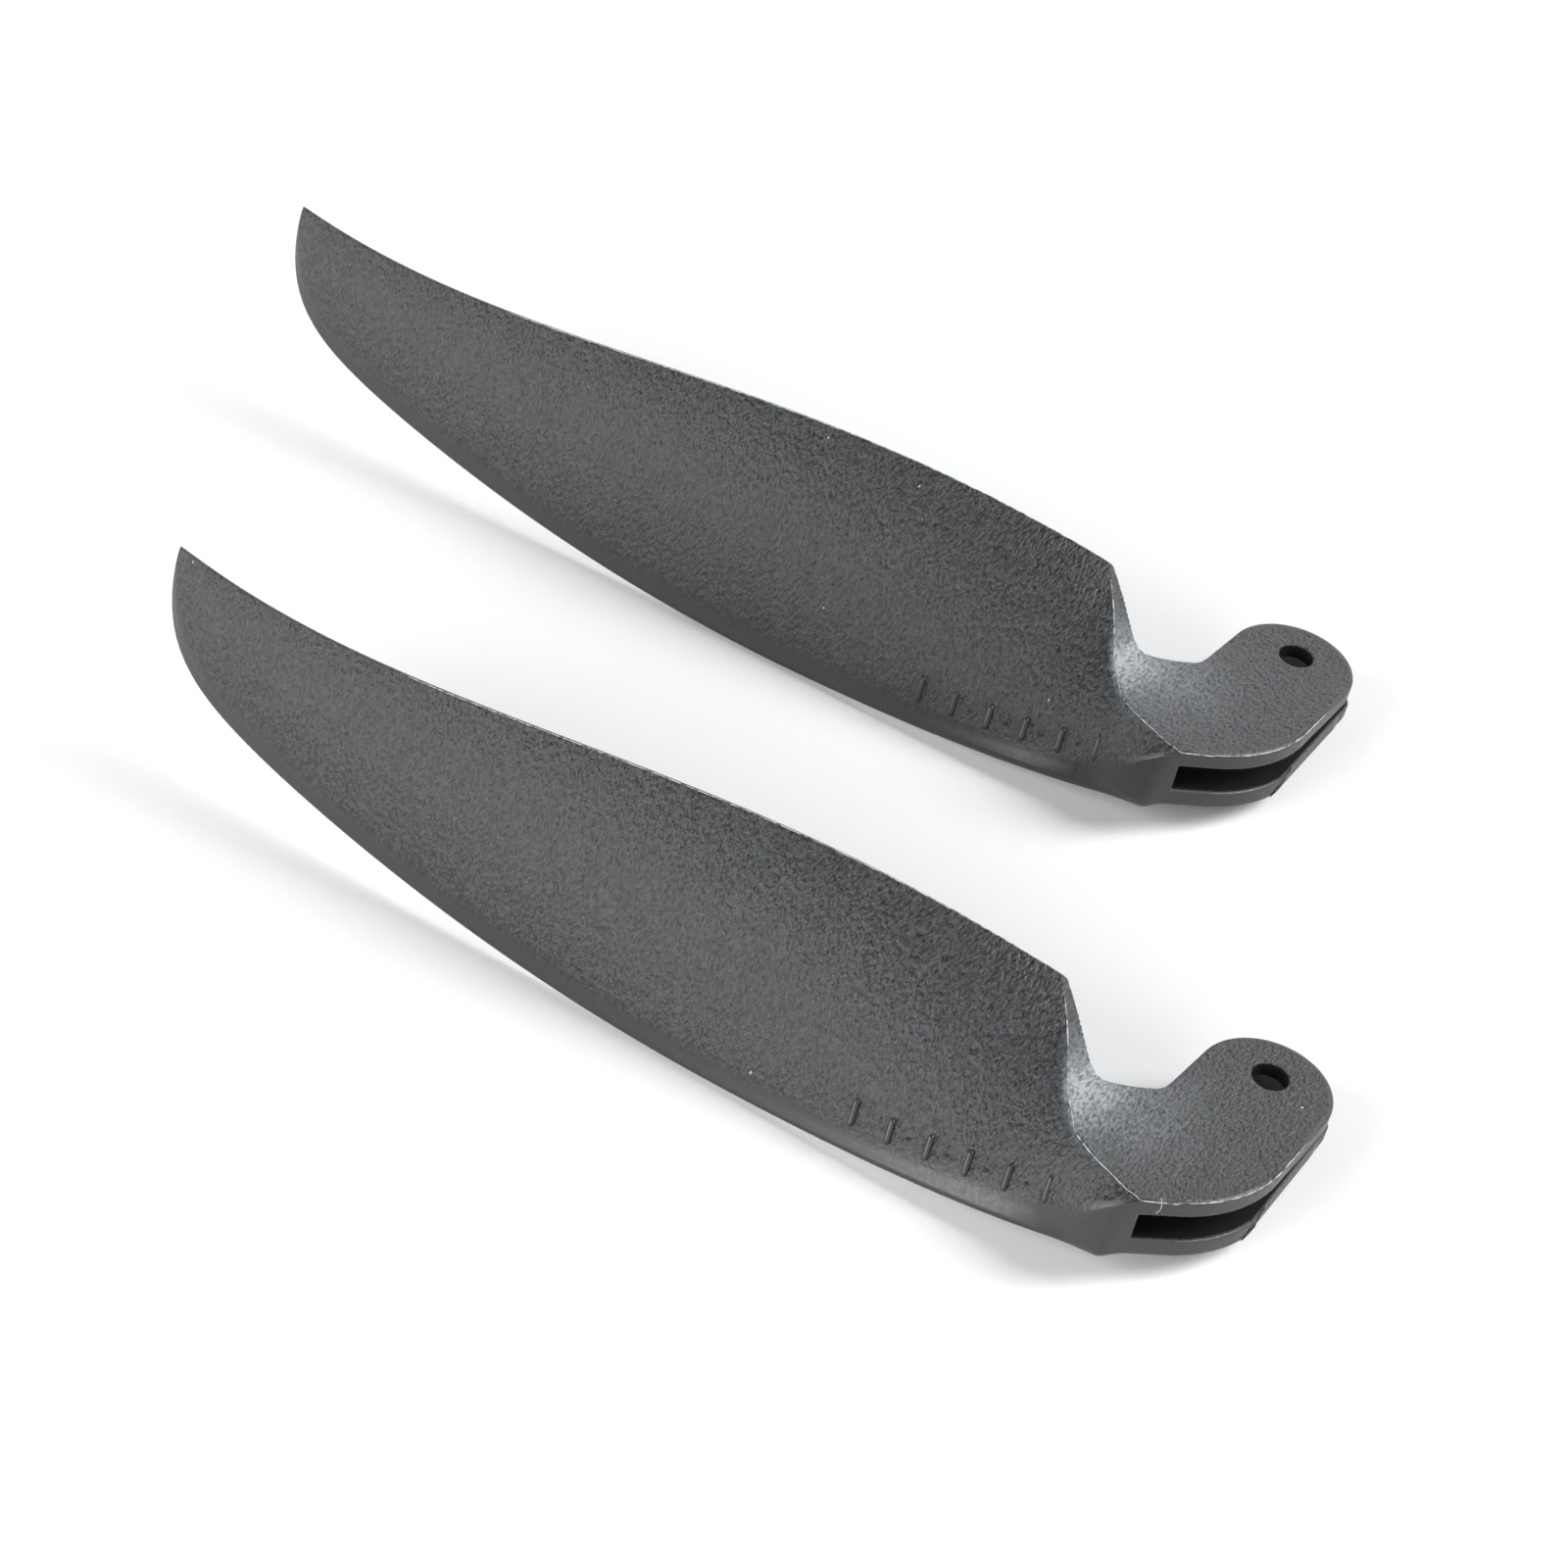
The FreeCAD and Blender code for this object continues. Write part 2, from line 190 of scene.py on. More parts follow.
# Colours and grain of the materials, scales per millimetre
NYLON_TWICE = (0.035, 0.038, 0.041, 1.0)         # the nylon's colour where the grain doubles it
DUST_COLOUR = (0.26, 0.28, 0.295, 1.0)
SPECK_COLOUR = (0.7, 0.7, 0.7, 1.0)
BLACK = (0.0, 0.0, 0.0, 1.0)
# Painted shade: near blacks for the walls far inside the slot and the pin hole
PAINTED_SHADE_BLACK = (0.006, 0.006, 0.006, 1.0)
SLOT_PAINTED_SHADE_DARKEST = (0.003, 0.003, 0.003, 1.0)
SLOT_PAINTED_SHADE_BLACK = (0.008, 0.008, 0.009, 1.0)
FLASH_BLACK = (0.04, 0.043, 0.046, 1.0)
WORN_GREY = (0.40, 0.405, 0.41, 1.0)
FIBRE_DARK = (0.35, 0.34, 0.33, 1.0)
FIBRE_PALE = (0.6, 0.59, 0.57, 1.0)
GRAIN_HEIGHT = 0.3               # of the bump, in millimetres
GRAIN_SCALE = 3.4
SPECKLE_SCALE = 6.5
CLOUD_SCALE = 0.55
SPECK_SCALE = 0.3
SPECK_SIZE = 0.028
SPECK_STRENGTH = 0.5
GRAIN_CONTRAST = (0.1, 1.9)
SPECKLE_CONTRAST = (0.45, 1.55)
CLOUD_CONTRAST = (0.85, 1.15)
DUST_CLOUD_CONTRAST = (0.7, 1.2)
DUST_GRAIN_CONTRAST = (0.4, 1.5)
NYLON_ROUGHNESS = (0.27, 0.9)
FLASH_ROUGHNESS = (0.35, 0.6)
SLOT_ROUGHNESS = 0.85
SLOT_GLOSS = 0.12
FIBRE_ROUGHNESS = 0.6

# Stage
CAMERA_FROM_PIN = Vector((114.91, -263.21, 270.09)) * MM      # from the front blade's pin hole
CAMERA_AZIMUTH = 31.635
CAMERA_ELEVATION = 40.0
LENS = 108.77
SENSOR_WIDTH = 36.0
FLOOR_HALF = 3.0                 # metres, like the lights' places and sizes
FLOOR_WHITE = (0.76, 0.768, 0.772, 1.0)
FLOOR_ROUGHNESS = 0.9
ROOM_TINT = (0.96, 0.98, 1.0, 1.0)
HORIZON_LIGHT = 2.4
OVERHEAD_LIGHT = 0.05
HORIZON_TOP = 0.2                # the room is brightest up to here, as the sine of the elevation
OVERHEAD_START = 0.6             # and darkest from here
SIDE_LIGHT = {"place": (0.75, 0.35, 0.70), "size": 0.6, "power": 15.0}
WINDOW_LIGHT = {"place": (-0.53, -0.92, 0.56), "size": 1.1, "power": 15.0}


# ---------------------------------------------------------------- the blade's laws

def chord_at(r):
    """Section chord: a cosine swell, rounded off over the last few millimetres at the tip."""
    beyond = r - CHORD_PEAK
    rate = np.where(beyond > 0.0, CHORD_RATE, CHORD_RATE_ROOT)
    full = CHORD_MAX - CHORD_DROP * (1.0 - np.cos(np.radians(rate * beyond)))
    return full * np.sqrt(np.maximum(1.0 - np.exp((r - TIP) / TIP_ROUNDING), 1e-7))


def trailing_edge_at(r):
    """The trailing edge's s and h."""
    along = np.clip((r - SWEEP_START) / (TIP - SWEEP_START), 0.0, None)
    wave = np.cos(math.pi * (r - EDGE_WAVE_PEAK) / EDGE_WAVE_HALF)
    return SWEEP_FORWARD * (1.0 - along ** SWEEP_POWER), EDGE_MEAN_HEIGHT + EDGE_WAVE * wave


def helix_at(r):
    """Angle of the section's chord from the h axis, the same pitch at every radius."""
    return np.arctan(PITCH / (2.0 * math.pi * (r + PIN_OFFSET)))


def bulge_at(r):
    """Height of the front face's arc, as a share of the chord."""
    fade = np.clip((r - SWELL_START) / SWELL_LENGTH, 0.0, 1.0)
    return FRONT_BULGE + ROOT_SWELL * (1.0 + np.cos(math.pi * fade)) / 2.0


def hollow_at(r):
    """Depth of the back face's arc, as a share of the chord."""
    fade = np.clip((r - HOLLOW_START) / HOLLOW_LENGTH, 0.0, 1.0)
    return BACK_HOLLOW + ROOT_HOLLOW * (1.0 + np.cos(math.pi * fade)) / 2.0


def slimming_at(r):
    """Thickness of the edges as a share of the root's."""
    return np.minimum(1.0, chord_at(r) / SLIM_CHORD) * (1.0 - TIP_THINNING * r / TIP)


def circle_meeting(corner, corner_reach, nose_at, nose_reach):
    """Centre, on the back's side, of the circle that meets the trailing corner and the nose."""
    gap = np.hypot(nose_at, corner)
    along = (corner_reach ** 2 - nose_reach ** 2 + gap ** 2) / (2.0 * gap)
    off = np.sqrt(np.maximum(corner_reach ** 2 - along ** 2, 0.0))
    way_x, way_y = nose_at / gap, -corner / gap
    return way_x * along + way_y * off, corner + way_y * along - way_x * off


def section_at(r):
    """Nose centre and radius, and the two faces' circles, of the sections at the radii r."""
    chord = chord_at(r)
    slim = slimming_at(r)
    half_edge = EDGE_THICKNESS * slim / 2.0
    nose = NOSE_RADIUS * slim
    bulge = bulge_at(r)
    hollow = hollow_at(r)
    nose_at = chord - nose
    front_radius = chord * (1.0 / (8.0 * bulge) + bulge / 2.0)
    back_radius = chord * (1.0 / (8.0 * hollow) + hollow / 2.0)
    front = circle_meeting(half_edge, front_radius, nose_at, front_radius - nose)
    back = circle_meeting(-half_edge, back_radius, nose_at, back_radius + nose)
    return {"half_edge": half_edge, "nose": nose, "nose_at": nose_at, "front": front,
            "front_radius": front_radius, "back": back, "back_radius": back_radius}


def to_section(r, s, h):
    """Blade coordinates to the section's x and y."""
    edge_s, edge_h = trailing_edge_at(r)
    helix = helix_at(r)
    sine, cosine = np.sin(helix), np.cos(helix)
    return (s - edge_s) * sine - (h - edge_h) * cosine, (s - edge_s) * cosine + (h - edge_h) * sine


def from_section(r, x, y):
    """A section's x and y back to s and h."""
    edge_s, edge_h = trailing_edge_at(r)
    helix = helix_at(r)
    sine, cosine = np.sin(helix), np.cos(helix)
    return edge_s + x * sine + y * cosine, edge_h - x * cosine + y * sine


# ---------------------------------------------------------------- distance fields, negative inside

def smooth_step(value):
    share = np.clip(value, 0.0, 1.0)
    return share * share * (3.0 - 2.0 * share)


def round_max(first, second, radius):
    """Common part of two solids, with an outer edge of that radius."""
    corner = np.hypot(np.maximum(first + radius, 0.0), np.maximum(second + radius, 0.0))
    return np.minimum(np.maximum(first, second), -radius) + corner


def smooth_min(first, second, reach):
    """Union of two solids, with a soft inner corner."""
    near = np.maximum(reach - np.abs(first - second), 0.0) / reach
    return np.minimum(first, second) - near * near * reach / 4.0


def section_field(x, y, shape):
    """Distance to a section's outline in its own plane."""
    nose_x = x - shape["nose_at"]
    front_x, front_y = shape["front"]
    back_x, back_y = shape["back"]
    front = np.hypot(x - front_x, y - front_y) - shape["front_radius"]
    back = shape["back_radius"] - np.hypot(x - back_x, y - back_y)
    # Past both touching points the outline is the nose circle.
    past_front = nose_x * -front_y - y * (shape["nose_at"] - front_x) > 0.0
    past_back = nose_x * -back_y - y * (shape["nose_at"] - back_x) > 0.0
    faces = np.where(past_front & past_back, np.hypot(nose_x, y) - shape["nose"],
                     np.maximum(front, back))
    return round_max(faces, -x, np.minimum(EDGE_ROUND, 0.4 * shape["half_edge"]))


def blade_field(r, s, h):
    x, y = to_section(r, s, h)
    return section_field(x, y, section_at(r))


def beside(r, s, point, normal):
    """Distance past the line through a point of the plan, along its normal."""
    return (r - point[0]) * normal[0] + (s - point[1]) * normal[1]


def rounded_corner(r, s, first, second, radius):
    """Inside of two lines of the plan, (point, normal) each, with their outer corner rounded."""
    normals = np.array([first[1], second[1]])
    offsets = np.array([np.dot(*first), np.dot(*second)]) - radius
    centre = np.linalg.solve(normals, offsets)
    share = np.linalg.inv(normals.T)
    to_first = (r - centre[0]) * share[0, 0] + (s - centre[1]) * share[0, 1]
    to_second = (r - centre[0]) * share[1, 0] + (s - centre[1]) * share[1, 1]
    arc = np.hypot(r - centre[0], s - centre[1]) - radius
    flat = np.maximum(beside(r, s, *first), beside(r, s, *second))
    return np.where((to_first > 0.0) & (to_second > 0.0), arc, flat)


def plan_field(r, s):
    """Distance to the fork's plan: round end, hub side, rounded front corner, wall, facet and web."""
    lobe = np.array(LOBE)
    side, wall_turn, facet_turn = np.radians([HUB_SIDE_ANGLE, WALL_ANGLE, FACET_ANGLE])
    hub_normal = np.array([-math.cos(side), math.sin(side)])
    hub = (lobe + hub_normal * LOBE_RADIUS, hub_normal)
    wall = (WALL_POINT, (-math.sin(wall_turn), math.cos(wall_turn)))
    facet = (FACET_POINT, (math.sin(facet_turn), math.cos(facet_turn)))
    ahead = np.maximum(rounded_corner(r, s, hub, wall, CORNER_RADIUS),
                       rounded_corner(r, s, wall, facet, FACET_RADIUS))

    # Outward side: touches the round end and runs to the notch.
    notch = np.array(NOTCH)
    to_notch = notch - lobe
    turn = math.atan2(to_notch[1], to_notch[0]) - math.acos(LOBE_RADIUS / np.hypot(*to_notch))
    out_normal = np.array([math.cos(turn), math.sin(turn)])
    out_distance = beside(r, s, lobe, out_normal) - LOBE_RADIUS
    hub_distance = beside(r, s, *hub)
    before = np.where(out_distance > hub_distance,
                      beside(r, s, lobe, (-out_normal[1], out_normal[0])) < 0.0,
                      beside(r, s, lobe, (hub_normal[1], -hub_normal[0])) < 0.0)
    round_end = np.hypot(r - lobe[0], s - lobe[1]) - LOBE_RADIUS
    lug = np.where(before, round_end, np.maximum(out_distance, hub_distance))

    # Web behind the blade's root.
    along = np.array(ROOT_BACK) - notch
    back_normal = np.array([along[1], -along[0]]) / np.hypot(*along)
    web = np.maximum(np.maximum(beside(r, s, notch, back_normal), r - ROOT_BACK[0]), -r)
    return np.maximum(smooth_min(lug, web, NOTCH_BLEND), ahead)


def crease_at(r):
    """Where the fork's flat top turns down to its wall."""
    bend = CREASE_BEND * np.maximum(r - CREASE_BEND_START, 0.0) ** 2
    return CREASE_START[1] - CREASE_FALL * (r - CREASE_START[0]) - bend


def facet_field(r, s, h):
    """Distance over the twisted facet between the crease and the fork's wall."""
    slope = math.radians(FACET_STEEPEST) * smooth_step((r - FACET_START) / FACET_TWIST_LENGTH)
    return (h - LIP_HEIGHT) * np.cos(slope) + (s - crease_at(r)) * np.sin(slope)


def long_ear_plan(r, s):
    """Distance to the lower ear's round end in plan."""
    return np.hypot(r - LOBE[0], s - LOBE[1] + LOWER_EAR_REACH) - LOBE_RADIUS


def skin_fields(r, s, h):
    """Blade and fork together, before the cuts, and the depth behind the top's rim."""
    middle = (FORK_SPARE - FORK_HEIGHT) / 2.0
    half = (FORK_SPARE + FORK_HEIGHT) / 2.0
    block = round_max(plan_field(r, s), np.abs(h - middle) - half, OUTER_ROUND)
    ear_top = -UPPER_EAR - SLOT_HEIGHT / 2.0
    ear_bottom = LOWER_EAR_LIFT - FORK_HEIGHT
    ear_level = np.abs(h - (ear_top + ear_bottom) / 2.0) - (ear_top - ear_bottom) / 2.0
    ear = round_max(long_ear_plan(r, s), ear_level, OUTER_ROUND)
    block = np.minimum(block, ear)
    fork = round_max(block, facet_field(r, s, h), OUTER_ROUND)
    blade = round_max(blade_field(r, s, h), BLADE_START - r, OUTER_ROUND)
    behind = np.where(r > FACET_START, np.maximum(block, s - crease_at(r)), block)
    return smooth_min(fork, blade, WEB_BLEND), np.minimum(smooth_min(behind, blade, RIM_BLEND), 0.0)


def scoop_field(r, h):
    """Distance under the scooped top: flat over the fork, then a hollow up to the shoulder."""
    slope = math.radians(SCOOP_SLOPE)
    shoulder = (SHOULDER, float(trailing_edge_at(np.array(SHOULDER))[1]))
    flat = ((0.0, 0.0), (0.0, -1.0))
    ramp = (shoulder, (math.sin(slope), -math.cos(slope)))
    return -rounded_corner(r, h, flat, ramp, SCOOP_RADIUS)


def slot_field(r, s, h):
    """Distance to the slot between the ears, endless toward the hub."""
    way = np.array(SLOT_REAR) - np.array(SLOT_FRONT)
    past_end = beside(r, s, SLOT_FRONT, np.array([-way[1], way[0]]) / np.hypot(*way))
    middle = -UPPER_EAR - SLOT_HEIGHT / 2.0
    return np.maximum(past_end, np.abs(h - middle) - SLOT_HEIGHT / 2.0)


def root_field(r, s, h):
    """The whole root: skin, scooped top with its lip, slot, stepped lower ear and pin hole."""
    skin, depth = skin_fields(r, s, h)
    ahead = 1.0 / (1.0 + np.exp((LIP_HALFWAY - s) / LIP_FADE))
    lip = LIP_HEIGHT * ahead * np.exp(depth / LIP_WIDTH)
    dish = DISH_DEPTH * (1.0 - np.exp(depth / DISH_WIDTH))
    crease = np.clip(BACK_CREASE_ROUND - CREASE_ROUND_FALL * (s - SWEEP_FORWARD),
                     CREASE_ROUND, BACK_CREASE_ROUND)
    body = round_max(skin, scoop_field(r, h) - (lip - dish), crease)

    body = round_max(body, -slot_field(r, s, h), SLOT_ROUND)
    beside_ear = np.maximum(r + LOWER_EAR_SIDE, h + UPPER_EAR + SLOT_HEIGHT / 2.0)
    body = round_max(body, -beside_ear, SLOT_ROUND)
    return round_max(body, PIN_HOLE - np.hypot(r, s), SLOT_ROUND)


# ---------------------------------------------------------------- meshes from the fields

def surface_net(field, axes):
    """Quads of a field's zero level on a grid: one vertex in each cell that the level crosses."""
    value = field(axes[0][:, None, None], axes[1][None, :, None], axes[2][None, None, :])
    inside = value < 0.0
    cells = tuple(n - 1 for n in value.shape)
    total = np.zeros((3,) + cells)
    count = np.zeros(cells, int)
    crossings = []
    for axis in range(3):
        low = [slice(None)] * 3
        high = [slice(None)] * 3
        low[axis], high[axis] = slice(None, -1), slice(1, None)
        low, high = tuple(low), tuple(high)
        crossed = inside[low] != inside[high]
        crossings.append(crossed)
        part = np.where(crossed, value[low] / np.where(crossed, value[low] - value[high], 1.0), 0.0)
        others = [a for a in range(3) if a != axis]
        for first in (0, 1):
            for second in (0, 1):
                window = [slice(None)] * 3
                window[others[0]] = slice(first, first + cells[others[0]])
                window[others[1]] = slice(second, second + cells[others[1]])
                window = tuple(window)
                count += crossed[window]
                total[axis] += part[window]
                total[others[0]] += first * crossed[window]
                total[others[1]] += second * crossed[window]
    used = np.argwhere(count > 0)
    at = tuple(used.T)
    number = np.full(cells, -1)
    number[at] = np.arange(len(used))
    share = total[(slice(None),) + at] / count[at]
    points = np.stack([np.interp(used[:, a] + share[a], np.arange(len(axes[a])), axes[a])
                       for a in range(3)], axis=1)

    quads = []
    for axis in range(3):
        others = [a for a in range(3) if a != axis]
        edges = np.argwhere(crossings[axis])
        inner = np.all([(edges[:, a] > 0) & (edges[:, a] < cells[a]) for a in others], axis=0)
        edges = edges[inner]
        corners = []
        for first, second in ((1, 1), (0, 1), (0, 0), (1, 0)):
            cell = edges.copy()
            cell[:, others[0]] -= first
            cell[:, others[1]] -= second
            corners.append(number[tuple(cell.T)])
        faces = np.stack(corners, axis=1)
        flip = inside[tuple(edges.T)] == (axis == 1)
        faces[flip] = faces[flip][:, ::-1]
        quads.append(faces)
    return points, np.concatenate(quads)


def settle(points, field, rounds=5, reach=0.12, probe=0.01):
    """Moves points onto a field's zero level."""
    for _ in range(rounds):
        value = field(*points.T)
        slope = np.empty_like(points)
        for axis in range(points.shape[1]):
            shift = np.zeros(points.shape[1])
            shift[axis] = probe
            slope[:, axis] = (field(*(points + shift).T) - field(*(points - shift).T)) / (2.0 * probe)
        step = -value[:, None] * slope / np.maximum((slope ** 2).sum(1), 0.05)[:, None]
        length = np.linalg.norm(step, axis=1)
        step *= np.minimum(1.0, reach / np.maximum(length, 1e-9))[:, None]
        points = points + step
    return points


def grid_axis(low, high):
    return np.linspace(low, high, int(round((high - low) / CELL)) + 1)


def root_mesh():
    """The root's quads, open where the blade's rings take over."""
    axes = [grid_axis(low, high) for low, high in ROOT_GRID]
    points, quads = surface_net(root_field, axes)
    return settle(points, root_field), quads


def ring_outline(r, front_steps=40, nose_steps=9, back_steps=34):
    """One section's outline, from the trailing edge along the front face, round the nose and back."""
    shape = section_at(np.array(r))
    nose_at, nose = shape["nose_at"], shape["nose"]
    front_x, front_y = shape["front"]
    back_x, back_y = shape["back"]
    front_turn = math.atan2(-front_y, nose_at - front_x)
    back_turn = math.atan2(back_y, back_x - nose_at)
    front_end = nose_at + nose * math.cos(front_turn)
    back_end = nose_at + nose * math.cos(back_turn)
    x, y = [], []
    for step in range(front_steps):
        along = front_end * (1.0 - math.cos(math.pi * step / front_steps)) / 2.0
        x.append(along)
        y.append(front_y + math.sqrt(shape["front_radius"] ** 2 - (along - front_x) ** 2))
    for step in range(nose_steps + 1):
        turn = front_turn + (back_turn - front_turn) * step / nose_steps
        x.append(nose_at + nose * math.cos(turn))
        y.append(nose * math.sin(turn))
    for step in range(1, back_steps + 1):
        along = back_end * (1.0 + math.cos(math.pi * step / back_steps)) / 2.0
        x.append(along)
        y.append(back_y + math.sqrt(shape["back_radius"] ** 2 - (along - back_x) ** 2))
    for share in (-0.6, -0.2, 0.2, 0.6):
        x.append(0.0)
        y.append(share * float(shape["half_edge"]))
    points = np.stack([np.array(x, float), np.array(y, float)], axis=1)
    return settle(points, lambda a, b: section_field(a, b, shape), reach=0.05)


def ring_radii():
    """Radii of the blade's rings: even along the blade, and closer and closer at the tip."""
    even = list(np.arange(JOIN + SEAM_WIDTH, TIP - TIP_ZONE, RING_STEP))
    first_gap = TIP - even[-1] - FIRST_TIP_STEP
    close = [TIP - gap for gap in np.geomspace(first_gap, TIP_GAP, TIP_RINGS)]
    return even + close


def blade_rings():
    """Rings of vertices of the blade beyond the root, and the faces between them."""
    radii = ring_radii()
    points, faces = [], []
    for r in radii:
        outline = ring_outline(r)
        s, h = from_section(r, outline[:, 0], outline[:, 1])
        points.append(np.stack([np.full(len(s), r), s, h], axis=1))
    count = len(points[0])
    for ring in range(len(radii) - 1):
        for step in range(count):
            after = (step + 1) % count
            faces.append((ring * count + step, (ring + 1) * count + step,
                          (ring + 1) * count + after, ring * count + after))
    faces.append(tuple((len(radii) - 1) * count + step for step in reversed(range(count))))
    return np.concatenate(points), faces, count


def open_loop(quads):
    """The vertices round an open mesh's edge, in order."""
    edges = np.concatenate([quads[:, [a, (a + 1) % 4]] for a in range(4)])
    key = np.sort(edges, axis=1)
    _, first, times = np.unique(key, axis=0, return_index=True, return_counts=True)
    after = {int(a): int(b) for a, b in edges[first[times == 1]]}
    start = next(iter(after))
    loop = [start]
    while after[loop[-1]] != start:
        loop.append(after[loop[-1]])
    return loop


def zip_loops(first, second, points):
    """Triangles between two rings of vertices that run the same way round."""
    def shares(loop):
        place = points[loop][:, 1:]
        length = np.linalg.norm(np.roll(place, -1, axis=0) - place, axis=1)
        return np.concatenate([[0.0], np.cumsum(length)]) / length.sum()

    start = np.argmin(np.linalg.norm(points[second] - points[first[0]], axis=1))
    second = list(second[start:]) + list(second[:start])
    first_share, second_share = shares(first), shares(second)
    faces, i, j = [], 0, 0
    while i < len(first) or j < len(second):
        a, b = first[i % len(first)], second[j % len(second)]
        if j >= len(second) or (i < len(first) and first_share[i + 1] <= second_share[j + 1]):
            i += 1
            faces.append((a, first[i % len(first)], b))
        else:
            j += 1
            faces.append((a, second[j % len(second)], b))
    return faces


def blade_parts():
    """All the vertices and faces of one blade, in its own frame."""
    root_points, root_quads = root_mesh()
    ring_points, ring_faces, count = blade_rings()
    base = len(root_points)
    points = np.concatenate([root_points, ring_points])
    ring = [base + step for step in range(count)]
    loop = open_loop(root_quads)
    middle = points[ring].mean(0)

    def turning(order):
        place = points[order][:, 1:] - middle[1:]
        after = np.roll(place, -1, axis=0)
        return (place[:, 0] * after[:, 1] - place[:, 1] * after[:, 0]).sum()

    if turning(ring) * turning(loop) < 0.0:
        loop = loop[::-1]
    seam = zip_loops(ring, loop, points)
    faces = [tuple(int(v) for v in quad) for quad in root_quads]
    faces += [tuple(int(v) for v in face) for face in seam]
    faces += [tuple(base + v for v in face) for face in ring_faces]
    return points, faces


# ---------------------------------------------------------------- placing

def mount_of(blade):
    """The mount of a blade's hinge bore."""
    name = blade.replace("_blade", "_hinge_bore")
    return next(m for m in frame["record"]["mounts"] if m["name"] == name)


def blade_place(blade):
    """Matrix from a blade's own r, s, h in millimetres to the row frame, from its bore mount."""
    mount = mount_of(blade)
    up = Vector(mount["axis"]).normalized()
    length = mount["dims"]["length_mm"] * MM
    top = Vector(mount["pos_m"]) + up * length / 2.0
    inward = Vector((up.z, 0.0, -up.x)).normalized()
    rearward = up.cross(inward)
    turn = Matrix((-inward * MM, -rearward * MM, up * MM)).transposed().to_4x4()
    return Matrix.Translation(top) @ turn


def solid(name, points, faces, place, body, material, marks=None, painted_shade=None):
    """A mesh object from blade coordinates, riding on a body.

    marks holds values at the points for the material to read, and the last argument is a second material,
    of painted shade, for the faces that lie far inside the slot and the pin hole.
    """
    mesh = bpy.data.meshes.new(name)
    matrix = np.array(place)
    world = points @ matrix[:3, :3].T + matrix[:3, 3]
    mesh.from_pydata(world.tolist(), [], faces)
    mesh.validate()
    mesh.materials.append(material)
    moulded = mesh.attributes.new("moulded", "FLOAT_VECTOR", "POINT")
    # Each blade has another stretch of the grain.
    apart = np.array([mount_of(body)["pos_m"][1] / MM, 0.0, 0.0])
    moulded.data.foreach_set("vector", (points * GRAIN_STRETCH + apart).ravel())
    for title, values in (marks or {}).items():
        mesh.attributes.new(title, "FLOAT", "POINT").data.foreach_set("value", values)
    piece = bpy.data.objects.new(name, mesh)
    bpy.context.scene.collection.objects.link(piece)
    for polygon in mesh.polygons:
        polygon.use_smooth = True
    if painted_shade:
        mesh.materials.append(painted_shade)
        # Faces wholly in the painted shade get the near-black second material.
        in_painted_shade = marks["inside"] > 0.9
        for polygon in mesh.polygons:
            polygon.material_index = int(in_painted_shade[list(polygon.vertices)].all())
    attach(piece, body)
    return piece


def soft_spot(r, s, centre, spread):
    """A patch of the plan, 1 at its centre and fading out."""
    return np.exp(-((r - centre[0]) / spread[0]) ** 2 - ((s - centre[1]) / spread[1]) ** 2)


def surface_marks(points):
    """Where the moulding is grained, dusty or paler, and where shade is painted into the slot and the pin
    hole, at each point.
    """
    r, s, h = points.T
    x, _ = to_section(r, s, h)
    face = smooth_step((chord_at(r) - x - SMOOTH_EDGE) / SMOOTH_FADE)
    wall = smooth_step((np.abs(plan_field(r, s)) - SMOOTH_WALL) / SMOOTH_WALL_FADE)
    grain = face * np.maximum(wall, smooth_step((r - WALL_POINT[0]) / WALL_GRAIN_LENGTH))

    top = np.exp(-(scoop_field(r, h) / DUST_DEPTH) ** 2) * (r < SHOULDER)
    dust = DUST_AMOUNT * soft_spot(r, s, DUST_SPOT, DUST_SPREAD)
    pale_patch = TOP_PALE_AMOUNT * soft_spot(r, s, TOP_PALE_SPOT, TOP_PALE_SPREAD)

    # Painted shade: the slot's walls and the pin hole's wall, where little light reaches, are marked to
    # be painted dark.
    lower_rim = np.minimum(plan_field(r, s), long_ear_plan(r, s))
    on_slot = np.abs(slot_field(r, s, h)) < ON_WALL
    slot = smooth_step((-lower_rim - SLOT_LIT_RIM) / PAINTED_SHADE_FADE) * on_slot
    to_bore = PIN_HOLE + BORE_PAINTED_SHADE_REACH - np.hypot(r, s)
    bore = smooth_step(to_bore / PAINTED_SHADE_FADE) * (h < -BORE_LIT_TOP)
    return {"grain": grain, "dust": top * np.clip(dust + pale_patch, 0.0, 1.0),
            "inside": np.maximum(slot, bore)}


def rod(path, radii, sides=8):
    """Vertices and faces of a closed tube along a path, with a radius at each of its points."""
    path = np.asarray(path, float)
    way = np.gradient(path, axis=0)
    way /= np.linalg.norm(way, axis=1)[:, None]
    across = np.cross(way, SLANT)
    across /= np.linalg.norm(across, axis=1)[:, None]
    other = np.cross(way, across)
    turns = 2.0 * math.pi * np.arange(sides) / sides
    points = [p + radius * (math.cos(t) * a + math.sin(t) * o)
              for p, a, o, radius in zip(path, across, other, radii) for t in turns]
    faces = []
    for ring in range(len(path) - 1):
        for side in range(sides):
            after = (side + 1) % sides
            faces.append((ring * sides + side, ring * sides + after,
                          (ring + 1) * sides + after, (ring + 1) * sides + side))
    faces.append(tuple(reversed(range(sides))))
    faces.append(tuple((len(path) - 1) * sides + side for side in range(sides)))
    return np.array(points), faces


def joined(parts):
    """Several (points, faces) as one."""
    points, faces, base = [], [], 0
    for part_points, part_faces in parts:
        points.append(part_points)
        faces += [tuple(base + v for v in face) for face in part_faces]
        base += len(part_points)
    return np.concatenate(points), faces


